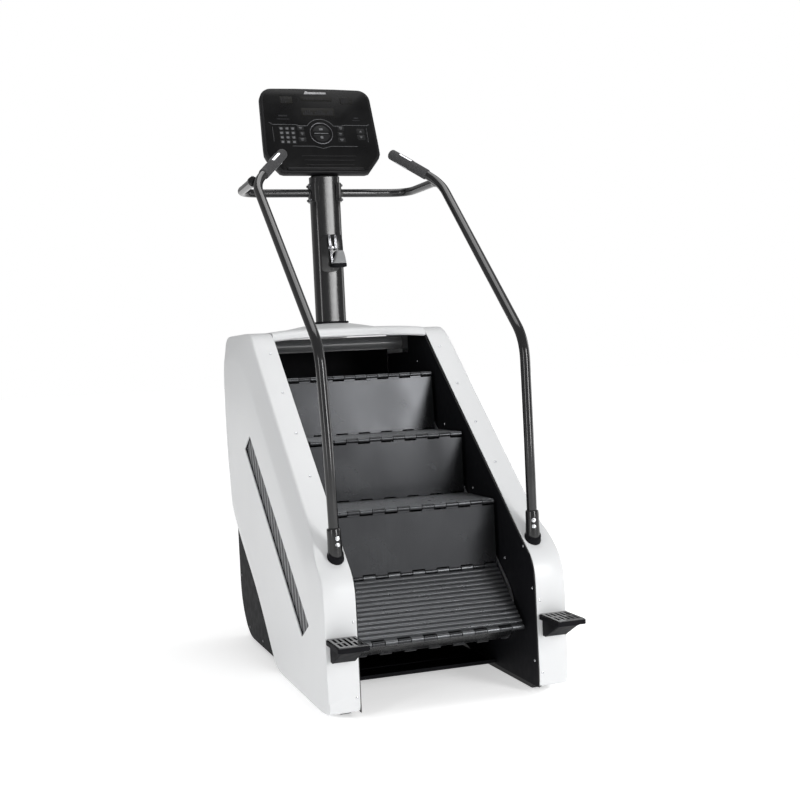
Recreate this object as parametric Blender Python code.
"""Commercial stair climber with a revolving belt of hinged steps.

Metres, +Z up, +Y is the way the user faces and climbs, +X is the user's right.
The origin is on the floor, under the middle of the machine's footprint.
"Depth" is measured back from the front faces of the two shell pillars, so Y = FRONT_Y + depth.
"""
from math import atan2, cos, hypot, pi, radians, sin

import bmesh
import bpy
from mathutils import Matrix, Vector

# ---------------------------------------------------------------- driving dimensions
FRONT_Y = -0.616           # Y of the pillar fronts
GAP = 0.0003               # clearance between touching pieces

OPENING_HALF = 0.290       # inner edge of each side shell
CREASE_X = 0.383           # where the shell's front band folds into its side
SIDE_X = 0.402             # crown of the shell's side
SHELL_WALL = 0.004
BODY_DEPTH = 1.370         # pillar front to rear face
BODY_TOP = 1.172           # top of the shells
SHELL_BOTTOM = 0.015

TREAD_RUN = 0.260          # nose hinge to valley hinge along a tread
RISE = 0.210               # nose hinge to valley hinge along a riser
STEP_COUNT = 8
STEP_HALF = 0.270          # half the width of a tread
PITCH = hypot(TREAD_RUN, RISE)
INCLINE = atan2(RISE, TREAD_RUN)
CHAIN_RADIUS = PITCH / pi  # one step pitch goes round each half turn
STRAIGHT = 3 * PITCH       # shaft to shaft
LOWER_DEPTH = 0.2676       # lower shaft
LOWER_Z = 0.234
PHASE = 0.080              # valley hinge 3 above the lower tangent point

KNUCKLE_RADIUS = 0.008
KNUCKLE_COUNT = 13         # segments across a hinge line, shared in turn by the two plates
HIDDEN_KNUCKLES = 5        # the same on the plates that stay inside the housing
PLATE_EDGE = 0.012         # plate edge to hinge axis
PLATE_HALF = 0.004         # half thickness
OPEN_EDGE = 0.030          # the same at the two valleys where the closed belt is opened
RIB_COUNT = 13

FRAME_IN = 0.295           # welded side frame, inner and outer face
FRAME_OUT = 0.333
REAR_POST = (1.140, 1.180)  # depth of the rear posts and of the cross tube between them
PANEL_X = 0.3595           # outer face of the lower side panels
MAST_DEPTH = 1.147
MAST_TOP = 1.763
MAST_WALL = 0.004
RAIL_RADIUS = 0.016
MAST_HALF_X = 0.057
MAST_HALF_Y = 0.040
ARM_Z = 1.702
ARM_RADIUS = 0.0155
ARM_PLATE_HALF = 0.036          # half height of the plate that bolts an arm to the mast
SOCKET = (0.322, 0.078)    # x and depth of the handrail socket
SOCKET_HOLE = 0.0235       # hole for it in the shell
PLATFORM_Z = 0.250

CONSOLE_TILT = radians(18.5)
CONSOLE_BASE = (1.110, 1.776)   # depth and z of the middle of the console's lower front edge
CONSOLE_THICK = 0.045
CONSOLE_HEIGHT = 0.358
CONSOLE_CORNER = 0.045          # radius of the upper corners


def y_at(depth):
    """World Y of a place this far behind the pillar fronts."""
    return FRONT_Y + depth


# ---------------------------------------------------------------- materials
def material(name, colour, roughness, metallic=0.0):
    mat = bpy.data.materials.new(name)
    mat.use_nodes = True
    shader = mat.node_tree.nodes["Principled BSDF"]
    shader.inputs["Base Color"].default_value = (*colour, 1.0)
    shader.inputs["Roughness"].default_value = roughness
    shader.inputs["Metallic"].default_value = metallic
    return mat


# ---------------------------------------------------------------- modelling helpers
def finish_mesh(name, build, mat, smooth=None):
    """Link an object whose bmesh is closed, with its faces pointing out."""
    bmesh.ops.recalc_face_normals(build, faces=build.faces)
    mesh = bpy.data.meshes.new(name)
    build.to_mesh(mesh)
    build.free()
    if smooth:
        mesh.shade_smooth()
        mesh.set_sharp_from_angle(angle=radians(smooth))
    if mat:
        mesh.materials.append(mat)
    part = bpy.data.objects.new(name, mesh)
    bpy.context.scene.collection.objects.link(part)
    return part


def bridge_rings(build, rings):
    """Skin a list of vertex rings and cap both ends."""
    for low, high in zip(rings, rings[1:]):
        count = len(low)
        for i in range(count):
            j = (i + 1) % count
            build.faces.new((low[i], low[j], high[j], high[i]))
    build.faces.new(list(reversed(rings[0])))
    build.faces.new(rings[-1])


def side_profile(name, outline, x0, x1, mat, smooth=None):
    """Extrude an outline of (depth, z) points across X."""
    build = bmesh.new()
    rings = [[build.verts.new((x, y_at(d), z)) for d, z in outline] for x in (x0, x1)]
    bridge_rings(build, rings)
    return finish_mesh(name, build, mat, smooth)


def plan_profile(name, outline, z0, z1, mat, smooth=None):
    """Extrude an outline of (x, depth) points upwards."""
    build = bmesh.new()
    rings = [[build.verts.new((x, y_at(d), z)) for x, d in outline] for z in (z0, z1)]
    bridge_rings(build, rings)
    return finish_mesh(name, build, mat, smooth)


def block(name, xs, depths, zs, mat):
    outline = [(depths[0], zs[0]), (depths[1], zs[0]), (depths[1], zs[1]), (depths[0], zs[1])]
    return side_profile(name, outline, xs[0], xs[1], mat)


def lathe_x(name, profile, depth, z, mat, sides=24):
    """Turn (x, radius) points about the X axis; the ends are closed with flat discs."""
    build = bmesh.new()
    rings = []
    for x, radius in profile:
        ring = []
        for i in range(sides):
            a = 2 * pi * i / sides
            ring.append(build.verts.new((x, y_at(depth) + radius * cos(a), z + radius * sin(a))))
        rings.append(ring)
    bridge_rings(build, rings)
    return finish_mesh(name, build, mat, smooth=40)


def combine(part, others, operation):
    """Boolean the other objects into the part, for good, and remove them."""
    for other in others:
        modifier = part.modifiers.new("cut", "BOOLEAN")
        modifier.operation = operation
        modifier.solver = "EXACT"
        modifier.object = other
    bpy.context.view_layer.update()
    evaluated = part.evaluated_get(bpy.context.evaluated_depsgraph_get())
    mesh = bpy.data.meshes.new_from_object(evaluated)
    mesh.name = part.name
    part.modifiers.clear()
    part.data = mesh
    for other in others:
        bpy.data.objects.remove(other, do_unlink=True)
    return part


def hang_on_axis(part, depth, z):
    """Put the origin of a turning part on its own axis, which runs along X."""
    axis = Vector((0.0, y_at(depth), z))
    part.data.transform(Matrix.Translation(-axis))
    part.location = axis


def mirrored(part, name, mat):
    """A separate copy of a right-hand part for the left side."""
    build = bmesh.new()
    build.from_mesh(part.data)
    bmesh.ops.transform(build, matrix=Matrix.Scale(-1, 4, (1, 0, 0)), verts=build.verts)
    return finish_mesh(name, build, mat, smooth=40)


def both_sides(make, name, mat):
    """Make the right-hand part and its mirror image."""
    right = make(name + "_right", mat)
    return right, mirrored(right, name + "_left", mat)


def tube(name, points, radius, mat, sides=3):
    """A round tube with closed ends along world points."""
    curve = bpy.data.curves.new(name, "CURVE")
    curve.dimensions = "3D"
    curve.bevel_depth = radius
    curve.bevel_resolution = sides
    curve.use_fill_caps = True
    spline = curve.splines.new("POLY")
    spline.points.add(len(points) - 1)
    for place, point in zip(spline.points, points):
        place.co = (*point, 1.0)
    curve.materials.append(mat)
    part = bpy.data.objects.new(name, curve)
    bpy.context.scene.collection.objects.link(part)
    return part


def solid_tube(name, points, radius, mat):
    """A round tube as a mesh, so that Booleans can join other shapes to it."""
    curve = tube("path", points, radius, mat)
    mesh = bpy.data.meshes.new_from_object(curve.evaluated_get(bpy.context.evaluated_depsgraph_get()))
    bpy.data.objects.remove(curve, do_unlink=True)
    build = bmesh.new()
    build.from_mesh(mesh)
    bmesh.ops.remove_doubles(build, verts=build.verts, dist=1e-6)
    return finish_mesh(name, build, mat, smooth=40)


def rounded_path(corners, radii, steps=5):
    """A polyline through the corners, with each inner corner turned into an arc-like bend."""
    path = [Vector(corners[0])]
    for before, corner, after, radius in zip(corners, corners[1:], corners[2:], radii):
        before, corner, after = Vector(before), Vector(corner), Vector(after)
        start = corner + (before - corner).normalized() * radius
        end = corner + (after - corner).normalized() * radius
        for i in range(steps + 1):
            t = i / steps
            path.append(start * (1 - t) ** 2 + corner * 2 * t * (1 - t) + end * t ** 2)
    path.append(Vector(corners[-1]))
    return path


def arc(centre, radius, start, end, steps):
    """Points (depth, z) on an arc, angles in degrees."""
    points = []
    for i in range(steps + 1):
        a = radians(start + (end - start) * i / steps)
        points.append((centre[0] + radius * cos(a), centre[1] + radius * sin(a)))
    return points


# ---------------------------------------------------------------- the step belt's geometry
UP = Vector((cos(INCLINE), sin(INCLINE)))          # (depth, z) up the incline
OUT = Vector((-sin(INCLINE), cos(INCLINE)))        # away from the belt, towards the user
LOWER_AXIS = Vector((LOWER_DEPTH, LOWER_Z))
UPPER_AXIS = LOWER_AXIS + UP * STRAIGHT


def chain_point(travel):
    """Place on the chain line, from the lower tangent point up the front run and round."""
    travel %= STEP_COUNT * PITCH
    if travel < STRAIGHT:
        return LOWER_AXIS + UP * travel + OUT * CHAIN_RADIUS
    if travel < STRAIGHT + PITCH:
        a = (travel - STRAIGHT) / CHAIN_RADIUS
        return UPPER_AXIS + (UP * sin(a) + OUT * cos(a)) * CHAIN_RADIUS
    if travel < 2 * STRAIGHT + PITCH:
        return UPPER_AXIS - UP * (travel - STRAIGHT - PITCH) - OUT * CHAIN_RADIUS
    a = (travel - 2 * STRAIGHT - PITCH) / CHAIN_RADIUS
    return LOWER_AXIS - (UP * sin(a) + OUT * cos(a)) * CHAIN_RADIUS


def valley(k):
    """Hinge at the foot of riser k. Steps count from the top of the front run."""
    return chain_point(PHASE + (3 - k) % STEP_COUNT * PITCH)


def nose(k):
    """Hinge between riser k and tread k, outside the chain line."""
    foot, back = valley(k), valley(k - 1)
    chord = back - foot
    along = (RISE ** 2 - TREAD_RUN ** 2 + chord.length_squared) / (2 * chord.length)
    height = (RISE ** 2 - along ** 2) ** 0.5
    chord.normalize()
    return foot + chord * along + Vector((-chord.y, chord.x)) * height


def plate_segment(k, count):
    """The stretch of X that segment k of a hinge line takes up."""
    width = 2 * STEP_HALF / count
    left = -STEP_HALF + k * width
    return left + GAP, left + width - GAP


def local_extrusion(name, outline, x0, x1):
    """Extrude an outline of local (y, z) points; used for the step plates."""
    build = bmesh.new()
    rings = [[build.verts.new((x, y, z)) for y, z in outline] for x in (x0, x1)]
    bridge_rings(build, rings)
    return finish_mesh(name, build, None)


def knuckle_outline(axis_y, plate_side):
    """A barrel round the hinge axis with a web that runs into the plate."""
    points = []
    for i in range(6):
        a = radians(50 + 260 * i / 5)
        points.append((axis_y + plate_side * KNUCKLE_RADIUS * cos(a), KNUCKLE_RADIUS * sin(a)))
    web = axis_y + plate_side * (PLATE_EDGE + 0.004)
    points.append((web, -PLATE_HALF))
    points.append((web, PLATE_HALF))
    return points


def plate_mesh(name, length, ribbed, first_knuckle, counts):
    """A tread or riser plate between two hinge axes, at local y = 0 and y = length.

    counts gives the number of hinge segments at each end; 0 leaves that end plain.
    """
    start = PLATE_EDGE if counts[0] else OPEN_EDGE
    end = length - (PLATE_EDGE if counts[1] else OPEN_EDGE)
    outline = [(start, -PLATE_HALF), (end, -PLATE_HALF)]
    if ribbed:
        pitch = (end - start) / RIB_COUNT
        outline.append((end, PLATE_HALF))
        for i in reversed(range(RIB_COUNT)):
            rib = start + (i + 0.5) * pitch
            half = pitch * 0.30
            outline.append((rib + half, PLATE_HALF))
            outline.append((rib + half * 0.7, KNUCKLE_RADIUS))
            outline.append((rib - half * 0.7, KNUCKLE_RADIUS))
            outline.append((rib - half, PLATE_HALF))
        outline.append((start, PLATE_HALF))
    else:
        outline += [(end, PLATE_HALF), (start, PLATE_HALF)]
    plate = local_extrusion(name, outline, -STEP_HALF, STEP_HALF)
    knuckles = []
    for count, axis_y, side in ((counts[0], 0.0, 1), (counts[1], length, -1)):
        for k in range(first_knuckle, count, 2):
            x0, x1 = plate_segment(k, count)
            knuckles.append(local_extrusion("knuckle", knuckle_outline(axis_y, side), x0, x1))
    combine(plate, knuckles, "UNION")
    mesh = plate.data
    bpy.data.objects.remove(plate, do_unlink=True)
    return mesh


def place_plate(name, mesh, start, end, pivot):
    """Lay a plate from one hinge to the next, hung from an empty on its own joint's axis."""
    angle = atan2(end.y - start.y, end.x - start.x)
    hinge = bpy.data.objects.new(name + "_axis", None)
    hinge.location = (0.0, y_at(pivot.x), pivot.y)
    bpy.context.scene.collection.objects.link(hinge)
    plate = bpy.data.objects.new(name, mesh)
    plate.parent = hinge
    plate.location = (0.0, start.x - pivot.x, start.y - pivot.y)
    plate.rotation_euler = (angle, 0.0, 0.0)
    bpy.context.scene.collection.objects.link(plate)


def hinge_segments(k, is_riser):
    """Segments at the first and second hinge of a plate, in the order of travel up the front.

    The closed belt is opened at valleys 4 and 7, where tread 5, riser 7 and tread 8 have no knuckles.
    """
    fine, coarse = KNUCKLE_COUNT, HIDDEN_KNUCKLES
    if is_riser:
        return {5: (coarse, coarse), 6: (coarse, coarse), 7: (0, coarse)}.get(k, (fine, fine))
    return {5: (coarse, 0), 6: (coarse, coarse), 7: (coarse, coarse), 8: (fine, 0)}.get(k, (fine, fine))


def build_steps(mats):
    meshes = {}
    for k in range(1, STEP_COUNT + 1):
        foot, tip, back = valley(k), nose(k), valley(k - 1)
        for is_riser in (True, False):
            segments = hinge_segments(k, is_riser)
            if (is_riser, segments) not in meshes:
                kind, length = ("riser_plate", RISE) if is_riser else ("tread_plate", TREAD_RUN)
                mesh = plate_mesh(kind, length, not is_riser, int(is_riser), segments)
                mesh.materials.append(mats["riser" if is_riser else "tread"])
                meshes[is_riser, segments] = mesh
            mesh = meshes[is_riser, segments]
            if is_riser:
                place_plate(f"riser_{k}", mesh, foot, tip, tip if k == 4 else foot)
            else:
                place_plate(f"tread_{k}", mesh, tip, back, back if k == 4 else tip)


# ---------------------------------------------------------------- drive
CHAIN_X = 0.279            # middle of each step chain
SPROCKET_HALF = 0.0035     # half thickness
SPROCKET_RADIUS = 0.1005
SHAFT_RADIUS = 0.0175
JOURNAL_RADIUS = 0.0145    # turned-down right end, which carries the drive pulley
SHAFT_END = 0.337
BEARING_BORE = SHAFT_RADIUS + 0.001


def build_shafts(mats):
    inner, outer = CHAIN_X - SPROCKET_HALF, CHAIN_X + SPROCKET_HALF
    for name, axis, right_end in (("upper_shaft", UPPER_AXIS, 0.356), ("lower_shaft", LOWER_AXIS, 0.331)):
        profile = [(-SHAFT_END, SHAFT_RADIUS)]
        for low, high in ((-outer, -inner), (inner, outer)):
            profile += [(low, SHAFT_RADIUS), (low, SPROCKET_RADIUS)]
            profile += [(high, SPROCKET_RADIUS), (high, SHAFT_RADIUS)]
        shoulder = right_end - 0.0205
        profile += [(shoulder, SHAFT_RADIUS), (shoulder, JOURNAL_RADIUS), (right_end, JOURNAL_RADIUS)]
        shaft = lathe_x(name, profile, axis.x, axis.y, mats["steel"], sides=28)
        hang_on_axis(shaft, axis.x, axis.y)


def racetrack(radius, steps=12):
    """Outline of a chain or belt round both shafts, (depth, z)."""
    tilt = INCLINE * 180 / pi
    upper = arc(UPPER_AXIS, radius, tilt + 90, tilt - 90, steps)
    lower = arc(LOWER_AXIS, radius, tilt - 90, tilt - 270, steps)
    return upper + lower


def build_chain(name, mat):
    outer = side_profile(name, racetrack(CHAIN_RADIUS + 0.005), CHAIN_X - 0.004, CHAIN_X + 0.004, mat, 40)
    inner = side_profile("inner", racetrack(CHAIN_RADIUS - 0.004), CHAIN_X - 0.02, CHAIN_X + 0.02, None)
    return combine(outer, [inner], "DIFFERENCE")


MOTOR_DEPTH = 1.111
MOTOR_Z = 0.235
PULLEY_RADIUS = 0.112
SMALL_PULLEY_RADIUS = 0.028
BELT_X = (0.3405, 0.3535)


def belt_outline(offset, steps=16):
    """Open belt round the large pulley and the brake's small pulley."""
    big, small = UPPER_AXIS, Vector((MOTOR_DEPTH, MOTOR_Z))
    line = small - big
    heading = atan2(line.y, line.x)
    lean = atan2((PULLEY_RADIUS - SMALL_PULLEY_RADIUS), line.length)
    half = pi / 2 - lean
    first, last = (heading + half) * 180 / pi, (heading - half) * 180 / pi
    points = arc(big, PULLEY_RADIUS + offset, first, last + 360, steps)
    points += arc(small, SMALL_PULLEY_RADIUS + offset, last, first, steps // 2)
    return points


def build_drive(mats):
    inner_x, outer_x = BELT_X
    hub = lathe_x("drive_pulley", [(inner_x - 0.001, PULLEY_RADIUS), (outer_x + 0.001, PULLEY_RADIUS)],
                  UPPER_AXIS.x, UPPER_AXIS.y, mats["steel"], sides=40)
    bore = lathe_x("bore", [(0.30, JOURNAL_RADIUS + GAP), (0.40, JOURNAL_RADIUS + GAP)],
                   UPPER_AXIS.x, UPPER_AXIS.y, None, sides=28)
    windows = []
    for i in range(5):
        a = 2 * pi * i / 5
        windows.append(lathe_x("window", [(0.30, 0.024), (0.40, 0.024)],
                               UPPER_AXIS.x + 0.065 * cos(a), UPPER_AXIS.y + 0.065 * sin(a), None, 14))
    combine(hub, [bore] + windows, "DIFFERENCE")
    hang_on_axis(hub, UPPER_AXIS.x, UPPER_AXIS.y)

    belt = side_profile("drive_belt", belt_outline(0.005), inner_x, outer_x, mats["rubber"], 40)
    inside = side_profile("inside", belt_outline(0.0012), inner_x - 0.02, outer_x + 0.02, None)
    combine(belt, [inside], "DIFFERENCE")

    profile = [(0.262, 0.010), (0.338, 0.010), (0.338, SMALL_PULLEY_RADIUS), (outer_x, SMALL_PULLEY_RADIUS)]
    pulley = lathe_x("brake_pulley", profile, MOTOR_DEPTH, MOTOR_Z, mats["steel"])
    hang_on_axis(pulley, MOTOR_DEPTH, MOTOR_Z)
    case = [(0.060, 0.075), (0.072, 0.092), (0.235, 0.092), (0.247, 0.075), (0.2615, 0.040)]
    lathe_x("brake_alternator", case, MOTOR_DEPTH, MOTOR_Z, mats["aluminium"], sides=28)


# ---------------------------------------------------------------- frame
WEB = 0.006                # thickness of the side frame's inner wall
FLANGE = 0.005             # and of the walls that stand out from it


def build_side_frame(name, mat):
    """Posts and rails of channel section, open outwards and welded into one piece."""
    x0, x1 = FRAME_IN, FRAME_OUT
    lower, upper = LOWER_AXIS.x, UPPER_AXIS.x
    members = {
        "front_post": ((0.045, 0.110), (0.060, 0.425)),
        "rear_post": (REAR_POST, (0.060, 1.130)),
        "top_rail": ((0.960, 1.180), (1.090, 1.128)),
        "lower_bearing_post": ((lower - 0.035, lower + 0.035), (0.060, 0.500)),
        "upper_bearing_post": ((upper - 0.035, upper + 0.035), (0.060, 1.100)),
    }
    base_rail = ((0.030, REAR_POST[1]), (0.030, 0.070))
    rail = block(name, (x0, x1), *base_rail, mat)
    welded, pockets = [], []
    for i, (member, (depths, zs)) in enumerate({"base_rail": base_rail, **members}.items()):
        step = 0.0004 * i
        if i:
            welded.append(block(member, (x0 + step, x1 - step), depths, zs, mat))
        inside = ((depths[0] + FLANGE, depths[1] - FLANGE), (zs[0] + FLANGE, zs[1] - FLANGE))
        pockets.append(block("pocket", (x0 + WEB + step, x1 + WEB), *inside, None))
    slope = [(0.050, 0.360), (1.000, 1.092), (1.000, 1.128), (0.050, 0.405)]
    welded.append(side_profile("slope_rail", slope, x0 + 0.003, x1 - 0.003, mat))
    hollow = [(0.056, 0.371), (0.994, 1.094), (0.994, 1.117), (0.056, 0.403)]
    pockets.append(side_profile("pocket", hollow, x0 + WEB + 0.003, x1 + WEB, None))
    combine(rail, welded, "UNION")
    holes = [lathe_x("hole", [(0.28, BEARING_BORE), (0.35, BEARING_BORE)], axis.x, axis.y, None, 20)
             for axis in (LOWER_AXIS, UPPER_AXIS)]
    return combine(rail, pockets + holes, "DIFFERENCE")


BEAM_DEPTH = (1.095, 1.200)
BEAM_Z = (1.096, 1.146)
SKID_WIDTH = 0.034


def build_base(mats):
    reach = FRAME_IN - GAP
    base = block("base_frame", (-reach, reach), (0.800, 0.840), (0.030, 0.070), mats["frame"])
    rear = block("rear", (-reach, reach), REAR_POST, (0.036, 0.070), mats["frame"])
    tray = block("tray", (-0.060, 0.250), (0.830, 1.160), (0.040, 0.046), mats["frame"])
    saddles = [block("saddle", (x, x + 0.012), (MOTOR_DEPTH - 0.070, MOTOR_DEPTH + 0.045),
                     (0.044, MOTOR_Z - 0.060), mats["frame"]) for x in (0.080, 0.218)]
    combine(base, [rear, tray] + saddles, "UNION")
    seat = lathe_x("seat", [(0.05, 0.0925), (0.30, 0.0925)], MOTOR_DEPTH, MOTOR_Z, None, 28)
    combine(base, [seat], "DIFFERENCE")
    beam = block("mast_beam", (-reach, reach), BEAM_DEPTH, BEAM_Z, mats["frame"])
    inside_depth = (BEAM_DEPTH[0] + FLANGE, BEAM_DEPTH[1] - FLANGE)
    inside_z = (BEAM_Z[0] + FLANGE, BEAM_Z[1] - FLANGE)
    bore = block("bore", (-SIDE_X, SIDE_X), inside_depth, inside_z, None)
    combine(beam, [bore], "DIFFERENCE")
    skid_depth, skid_z = (0.080, REAR_POST[1]), (0.0, 0.030 - GAP)
    for x0, side in ((FRAME_IN + 0.002, "right"), (-FRAME_OUT + 0.002, "left")):
        block(f"rubber_skid_{side}", (x0, x0 + SKID_WIDTH), skid_depth, skid_z, mats["rubber"])


# ---------------------------------------------------------------- shells and covers
def shell_outline():
    """Side view of a shell, anticlockwise from the foot of the pillar, with each point's rim X.

    The rim is the shell's inner edge: it frames the stairs at the front, top and back, and is
    only a narrow flange along the bottom and the lower rear, where the black panel shows.
    """
    wide, narrow = OPENING_HALF, 0.3625
    pillar = [(0.012, SHELL_BOTTOM), (0.0, 0.030), (0.0, 0.200), (0.0, 0.345)]
    turn = [(0.006, 0.395), (0.028, 0.432), (0.085, 0.474)]
    slope = [(0.300, 0.656), (0.600, 0.906), (0.870, 1.135)]
    top = [(0.895, 1.154), (0.925, BODY_TOP), (1.120, BODY_TOP), (1.330, BODY_TOP)]
    back = [(1.362, 1.158), (BODY_DEPTH, 1.120), (BODY_DEPTH + 0.002, 0.850), (1.366, 0.590)]
    cut = [(1.330, 0.515), (1.180, 0.400), (0.960, 0.265), (0.800, 0.130), (0.705, 0.035)]
    foot = [(0.640, SHELL_BOTTOM), (0.400, SHELL_BOTTOM), (0.200, SHELL_BOTTOM), (0.100, SHELL_BOTTOM)]
    outline = []
    for group, rim in ((pillar, wide), (turn, wide), (slope, wide), (top, wide), (back, wide),
                       (cut, narrow), (foot, narrow)):
        outline += [(point, rim) for point in group]
    return outline


# Rings of the shell's skin as (x, inset towards the middle of the side); the first x is the rim's own.
SHELL_RINGS = ((None, 0.0), (CREASE_X - 0.012, 0.0), (CREASE_X, 0.008), (0.394, 0.045), (SIDE_X, 0.130))


def shell_surface(name, mat):
    """Outer skin of the right shell, then thickened inwards; open towards the stairs."""
    outline = shell_outline()
    middle = Vector((0.72, 0.68))
    skin = bmesh.new()
    rings = []
    for x, inset in SHELL_RINGS:
        ring = []
        for (depth, z), rim in outline:
            place = Vector((depth, z))
            place += (middle - place).normalized() * inset
            ring.append(skin.verts.new((rim if x is None else x, y_at(place.x), place.y)))
        rings.append(ring)
    for low, high in zip(rings, rings[1:]):
        for i in range(len(low)):
            j = (i + 1) % len(low)
            skin.faces.new((low[i], high[i], high[j], low[j]))
    skin.faces.new(rings[-1])
    shell = finish_mesh(name, skin, mat)
    thick = shell.modifiers.new("thickness", "SOLIDIFY")
    thick.thickness = SHELL_WALL
    thick.offset = -1.0
    thick.use_even_offset = True
    return shell


VENT_FOOT = (0.205, 0.262)
VENT_HEAD = (0.900, 0.784)
VENT_HALF = 0.040


def vent_outline(grow):
    """Slot along the side, parallel to the stairs, with slanting ends that come to a point."""
    foot, head = Vector(VENT_FOOT), Vector(VENT_HEAD)
    along = (head - foot).normalized()
    across = Vector((-along.y, along.x)) * (VENT_HALF + grow)
    skew = along * 0.022
    ends = along * grow
    return [foot - across + skew - ends, head - across + skew + ends,
            head + across - skew + ends, foot + across - skew - ends]


def build_shell(name, mat):
    shell = shell_surface(name, mat)
    slot = side_profile("slot", vent_outline(0.0), 0.37, 0.42, None)
    turns = [a * pi / 8 for a in range(16)]
    circle = [(SOCKET[0] + SOCKET_HOLE * cos(a), SOCKET[1] + SOCKET_HOLE * sin(a)) for a in turns]
    post = plan_profile("post", circle, 0.36, 0.56, None)
    return combine(shell, [slot, post], "DIFFERENCE")


def build_vent(name, mat):
    """Perforated insert clipped behind the slot."""
    return side_profile(name, vent_outline(0.012), 0.3935 - SHELL_WALL, 0.3945 - SHELL_WALL, mat)


def inner_wall_outline():
    front = [(0.004, 0.020), (0.004, 0.345), (0.010, 0.392), (0.031, 0.428), (0.087, 0.469)]
    return front + [(0.902, 1.147), (0.925, 1.160), (1.085, 1.160), (1.085, 1.080), (1.340, 1.080),
                    (1.340, 0.640), (1.210, 0.500), (0.760, 0.078), (0.560, 0.024), (0.260, 0.020)]


def build_inner_wall(name, mat):
    wall = side_profile(name, inner_wall_outline(), 0.2862, 0.2892, mat)
    holes = [lathe_x("hole", [(0.27, 0.021), (0.30, 0.021)], axis.x, axis.y, None, 20)
             for axis in (LOWER_AXIS, UPPER_AXIS)]
    return combine(wall, holes, "DIFFERENCE")


REAR_ARC = (1.165, 0.2205)     # centre of the rounded lower rear corner, depth and z


def build_side_panel(name, mat):
    """Black lower rear side panel with its rounded bottom corner."""
    outline = [(1.364, 0.500), (1.200, 0.480), (0.860, 0.270), (0.640, 0.090), (0.600, 0.0215)]
    outline += [(REAR_ARC[0], 0.0215)] + arc(REAR_ARC, 0.199, -80, 0, 8)
    return side_profile(name, outline, PANEL_X - 0.003, PANEL_X, mat)


def strip_outline(path, thickness):
    """A sheet's edge view: the path, then back along it at a constant offset to its left."""
    back = []
    for i, point in enumerate(path):
        before = Vector(path[max(i - 1, 0)])
        after = Vector(path[min(i + 1, len(path) - 1)])
        run = (after - before).normalized()
        back.append(tuple(Vector(point) + Vector((-run.y, run.x)) * thickness))
    return list(path) + back[::-1]


def build_covers(mats):
    reach = OPENING_HALF - GAP
    path = [(0.884, 1.136), (0.897, 1.152), (0.925, BODY_TOP - 0.004), (1.330, BODY_TOP - 0.004)]
    path += [(1.360, 1.158)]
    cover = side_profile("top_cover", strip_outline(path, 0.004), -reach, reach, mats["white"])
    hump_ring = [(0.175, 1.030), (0.205, 1.070), (0.205, 1.300), (0.175, 1.335)]
    outer = hump_ring + [(-x, d) for x, d in reversed(hump_ring)]
    hump = bmesh.new()
    rings = []
    for z, scale in ((BODY_TOP - 0.003, 1.0), (1.192, 0.93), (1.204, 0.78)):
        rings.append([hump.verts.new((x * scale, y_at(1.180 + (d - 1.180) * scale), z)) for x, d in outer])
    bridge_rings(hump, rings)
    crown = finish_mesh("crown", hump, mats["white"])
    combine(cover, [crown], "UNION")
    hollow = bmesh.new()
    rings = []
    for z, scale in ((BODY_TOP - 0.02, 0.97), (BODY_TOP - 0.003, 0.96), (1.188, 0.89), (1.2, 0.74)):
        rings.append([hollow.verts.new((x * scale, y_at(1.180 + (d - 1.180) * scale), z)) for x, d in outer])
    bridge_rings(hollow, rings)
    inside = finish_mesh("inside", hollow, None)
    mast_hole = mast_solid("mast_hole", 1.15, 1.25, 0.001, None)
    combine(cover, [inside, mast_hole], "DIFFERENCE")

    path = arc(REAR_ARC, 0.1955, -84, 0, 8) + [(1.3605, 0.700), (1.3605, 1.150)]
    cover = side_profile("rear_cover", strip_outline(path, 0.003), -0.3560, 0.3560, mats["black"])
    side_cut = [block("side_cut", (side * 0.2858, side * 0.40), (1.20, 1.40), (0.490, 1.30), None)
                for side in (1, -1)]
    combine(cover, side_cut, "DIFFERENCE")


# ---------------------------------------------------------------- mast, rails and console
def mast_ring(grow, steps=24):
    """Rounded section of the mast in plan, (x, depth)."""
    points = []
    for i in range(steps):
        a = 2 * pi * i / steps
        c, s = cos(a), sin(a)
        squash = (abs(c) ** 3 + abs(s) ** 3) ** (-1 / 3)
        points.append(((MAST_HALF_X + grow) * c * squash, MAST_DEPTH + (MAST_HALF_Y + grow) * s * squash))
    return points


def mast_solid(name, z0, z1, grow, mat):
    return plan_profile(name, mast_ring(grow), z0, z1, mat, smooth=40)


def rail_points():
    x, depth = SOCKET
    corners = [(x, y_at(depth), 0.4450), (0.327, y_at(0.086), 0.800), (0.334, y_at(0.104), 1.098),
               (0.345, y_at(0.800), 1.690), (0.207, y_at(0.944), 1.818)]
    return rounded_path(corners, (0.05, 0.07, 0.060))


def axis_frame(start, end):
    """Matrix whose Z runs from start to end, placed at start."""
    start, end = Vector(start), Vector(end)
    turn = (end - start).to_track_quat("Z", "Y").to_matrix().to_4x4()
    return Matrix.Translation(start) @ turn


def sleeve(name, start, end, inner, profile, mat, sides=16, span=(0.0, 1.0)):
    """A hollow sleeve round a straight tube: (fraction, radius) points outside, one bore."""
    length = (Vector(end) - Vector(start)).length
    build = bmesh.new()

    def ring(place, radius):
        points = []
        for i in range(sides):
            a = 2 * pi * i / sides
            points.append(build.verts.new((radius * cos(a), radius * sin(a), place * length)))
        return points

    outer = [ring(place, radius) for place, radius in profile]
    bore = [ring(span[1], inner), ring(span[0], inner)]
    loop = outer + bore
    for low, high in zip(loop, loop[1:] + loop[:1]):
        for i in range(sides):
            j = (i + 1) % sides
            build.faces.new((low[i], low[j], high[j], high[i]))
    bmesh.ops.transform(build, matrix=axis_frame(start, end), verts=build.verts)
    return finish_mesh(name, build, mat, smooth=40)


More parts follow.
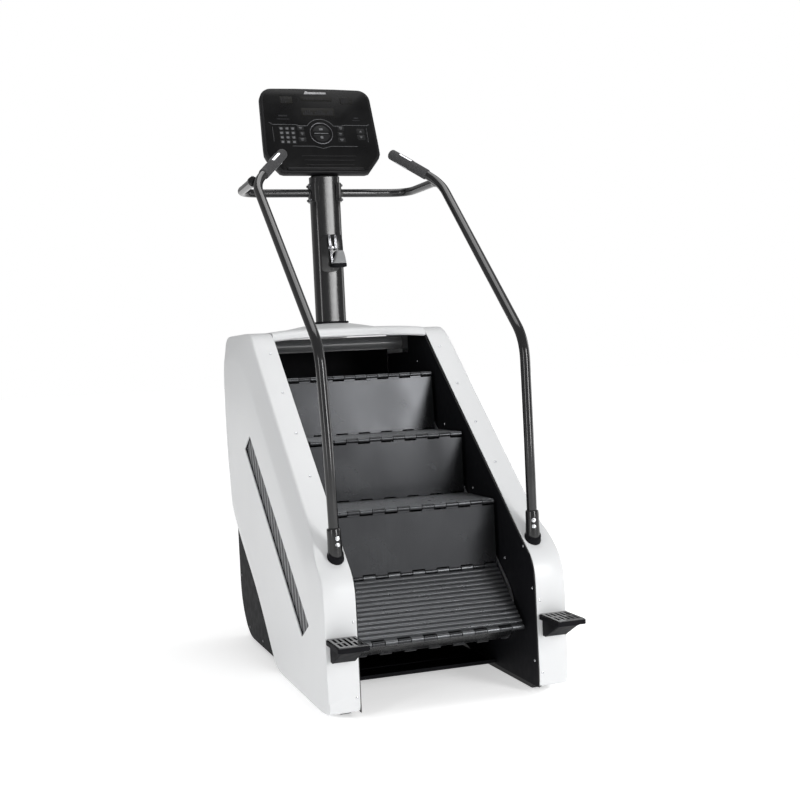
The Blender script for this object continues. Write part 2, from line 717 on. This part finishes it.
def grip_line():
    points = rail_points()
    end = points[-1]
    start = points[-2]
    return start, end


def build_grip(name, mat):
    start, end = grip_line()
    profile = [(0.03, 0.0180), (0.06, 0.0195), (0.93, 0.0195), (1.0, 0.0180)]
    return sleeve(name, start, end, RAIL_RADIUS + 0.0006, profile, mat, span=(0.03, 1.0))


def build_pulse_band(name, mat):
    start, end = grip_line()
    profile = [(0.44, 0.0212), (0.86, 0.0212)]
    return sleeve(name, start, end, 0.0195 + 0.0004, profile, mat, span=(0.44, 0.86))


def build_socket(name, mat):
    """Collar that clamps the foot of the handrail; it comes up through a hole in the shell."""
    x, depth = SOCKET
    base, top = (x, y_at(depth), 0.4450), (x + 0.0015, y_at(depth + 0.0025), 0.5600)
    profile = [(0.0, 0.0205), (0.94, 0.0205), (1.0, 0.0192)]
    return sleeve(name, base, top, RAIL_RADIUS + 0.0012, profile, mat)


def build_mast(mats):
    mast = mast_solid("mast", 1.146 + GAP, MAST_TOP, 0.0, mats["black"])
    combine(mast, [mast_solid("inside", 1.14, MAST_TOP + 0.01, -MAST_WALL, None)], "DIFFERENCE")
    for sign, side in ((1, "right"), (-1, "left")):
        build_arm(f"support_arm_{side}", sign, mats["black"])


def build_arm(name, sign, mat):
    """Arm from the handrail's upper bend to a curved plate on the side of the mast."""
    z, front, back = ARM_Z, 0.845, MAST_DEPTH
    corners = [(0.344, y_at(front), z), (0.334, y_at(back), z), (MAST_HALF_X + 0.0020, y_at(back), z)]
    path = rounded_path([(sign * x, y, height) for x, y, height in corners], (0.085,))
    arm = solid_tube(name, path, ARM_RADIUS, mat)
    plate = mast_solid("plate", z - ARM_PLATE_HALF, z + ARM_PLATE_HALF, 0.0055, None)
    room = mast_solid("room", z - 0.06, z + 0.06, GAP, None)
    beyond = block("beyond", sorted((sign * 0.036, sign * -0.080)), (1.05, 1.25), (z - 0.06, z + 0.06), None)
    combine(plate, [room, beyond], "DIFFERENCE")
    return combine(arm, [plate], "UNION")


def console_matrix():
    """Console frame: X across, Z up the tilted face, origin at its lower front edge."""
    depth, z = CONSOLE_BASE
    return Matrix.Translation((0.0, y_at(depth), z)) @ Matrix.Rotation(-CONSOLE_TILT, 4, "X")


def console_outline(inset):
    """Front view of the console: round upper corners and cut lower corners, (x, height)."""
    half_top, half_wide, half_low = 0.220, 0.228, 0.174
    points = [(half_low - inset, inset), (half_wide - inset, 0.072), (half_wide - inset, 0.110)]
    centre = (half_top - CONSOLE_CORNER, CONSOLE_HEIGHT - CONSOLE_CORNER)
    points += arc(centre, CONSOLE_CORNER - inset, 0, 90, 5)
    return points + [(-x, h) for x, h in reversed(points)]


def console_slab(name, layers, mat):
    """Stack of the outline at several depths behind the face: (distance, inset) pairs."""
    build = bmesh.new()
    place = console_matrix()
    rings = []
    for distance, inset in layers:
        rings.append([build.verts.new(place @ Vector((x, distance, h))) for x, h in console_outline(inset)])
    bridge_rings(build, rings)
    return finish_mesh(name, build, mat)


def console_prism(name, outline, half_width, mat):
    """Extrude (distance behind the face, height) points across the console."""
    build = bmesh.new()
    place = console_matrix()
    rings = []
    for x in (-half_width, half_width):
        rings.append([build.verts.new(place @ Vector((x, distance, h))) for distance, h in outline])
    bridge_rings(build, rings)
    return finish_mesh(name, build, mat)


def build_console(mats):
    console_slab("console_housing", ((0.0, 0.004), (0.004, 0.0), (0.030, 0.0), (CONSOLE_THICK, 0.018)),
                 mats["black"])
    console_slab("console_overlay", ((-0.0023, 0.012), (-GAP, 0.010)), mats["overlay"])
    back = CONSOLE_THICK + 0.0004
    wedge = ((back, 0.180), (back, 0.030), (back + 0.014, 0.010), (back + 0.014, 0.180))
    bracket = console_prism("console_bracket", wedge, 0.045, mats["black"])
    ring = [(x * 0.86, MAST_DEPTH + (d - MAST_DEPTH) * 0.80) for x, d in mast_ring(0.0)]
    neck = plan_profile("neck", ring, MAST_TOP + GAP, 1.850, mats["black"])
    room = ((-0.1, -0.1), (-0.1, 0.4), (back, 0.4), (back, -0.1))
    housing_room = console_prism("room", room, 0.3, None)
    combine(bracket, [neck], "UNION")
    combine(bracket, [housing_room], "DIFFERENCE")


def build_holder(mats):
    """Accessory holder on the front of the mast: back plate with tray, and a two-prong clip."""
    front = MAST_DEPTH - 0.0415
    plate_depth, prong_depth = (front - 0.006, front - 0.0006), (front - 0.012, front - 0.0064)
    plate = block("accessory_holder", (-0.041, 0.049), plate_depth, (1.398, 1.540), mats["black"])
    wedge = [(front - 0.052, 1.413), (front - 0.004, 1.413), (front - 0.004, 1.478), (front - 0.034, 1.478)]
    tray = side_profile("tray", wedge, -0.002, 0.047, mats["black"])
    combine(plate, [tray], "UNION")
    prong = block("holder_clip", (-0.012, 0.018), prong_depth, (1.486, 1.537), mats["chrome"])
    slot = block("slot", (-0.004, 0.010), (front - 0.02, front), (1.500, 1.545), None)
    combine(prong, [slot], "DIFFERENCE")


def build_platform(name, mat):
    """Slotted foot plate: short, long and short slots in five columns."""
    plate = block(name, (0.292, 0.388), (-0.140, -0.0006), (PLATFORM_Z - 0.006, PLATFORM_Z), mat)
    cuts = []
    for i in range(5):
        x = 0.305 + i * 0.0175
        spans = [(-0.122, -0.022)] if i == 2 else [(-0.122, -0.078), (-0.062, -0.022)]
        cuts += [block("cut", (x - 0.004, x + 0.004), span, (0.2, 0.3), None) for span in spans]
    return combine(plate, cuts, "DIFFERENCE")


def build_bracket(name, mat):
    """Tapered bracket under the foot plate, bolted to the pillar."""
    top = PLATFORM_Z - 0.006 - GAP
    outline = [(-0.0006, top), (-0.0006, 0.180), (-0.022, 0.180), (-0.120, 0.228), (-0.120, top)]
    return side_profile(name, outline, 0.305, 0.375, mat)


# ---------------------------------------------------------------- assembly
def main():
    for old in list(bpy.data.objects):
        bpy.data.objects.remove(old, do_unlink=True)
    mats = {
        "white": material("gloss_white", (0.86, 0.87, 0.88), 0.25),
        "black": material("satin_black", (0.018, 0.018, 0.020), 0.38),
        "wall": material("panel_black", (0.022, 0.022, 0.026), 0.45),
        "frame": material("frame_grey", (0.10, 0.10, 0.11), 0.50),
        "tread": material("tread_grey", (0.090, 0.092, 0.098), 0.42),
        "riser": material("riser_grey", (0.075, 0.078, 0.084), 0.30),
        "steel": material("machined_steel", (0.55, 0.56, 0.58), 0.30, 1.0),
        "chrome": material("chrome", (0.80, 0.80, 0.82), 0.12, 1.0),
        "aluminium": material("cast_aluminium", (0.50, 0.51, 0.53), 0.45, 1.0),
        "rubber": material("rubber", (0.02, 0.02, 0.02), 0.80),
        "foam": material("grip_foam", (0.03, 0.03, 0.032), 0.75),
        "overlay": material("console_overlay", (0.012, 0.012, 0.014), 0.22),
    }
    build_steps(mats)
    build_shafts(mats)
    chain = build_chain("step_chain_right", mats["steel"])
    mirrored(chain, "step_chain_left", mats["steel"])
    build_drive(mats)
    both_sides(build_side_frame, "side_frame", mats["frame"])
    build_base(mats)
    both_sides(build_shell, "side_shell", mats["white"])
    both_sides(build_vent, "side_vent", mats["black"])
    both_sides(build_inner_wall, "inner_wall", mats["wall"])
    both_sides(build_side_panel, "lower_side_panel", mats["wall"])
    build_covers(mats)
    tube("handrail_right", rail_points(), RAIL_RADIUS, mats["black"])
    tube("handrail_left", [Vector((-p.x, p.y, p.z)) for p in rail_points()], RAIL_RADIUS, mats["black"])
    both_sides(build_grip, "grip", mats["foam"])
    both_sides(build_pulse_band, "pulse_band", mats["chrome"])
    both_sides(build_socket, "handrail_socket", mats["black"])
    build_mast(mats)
    build_console(mats)
    build_holder(mats)
    both_sides(build_platform, "foot_platform", mats["black"])
    both_sides(build_bracket, "platform_bracket", mats["black"])


main()
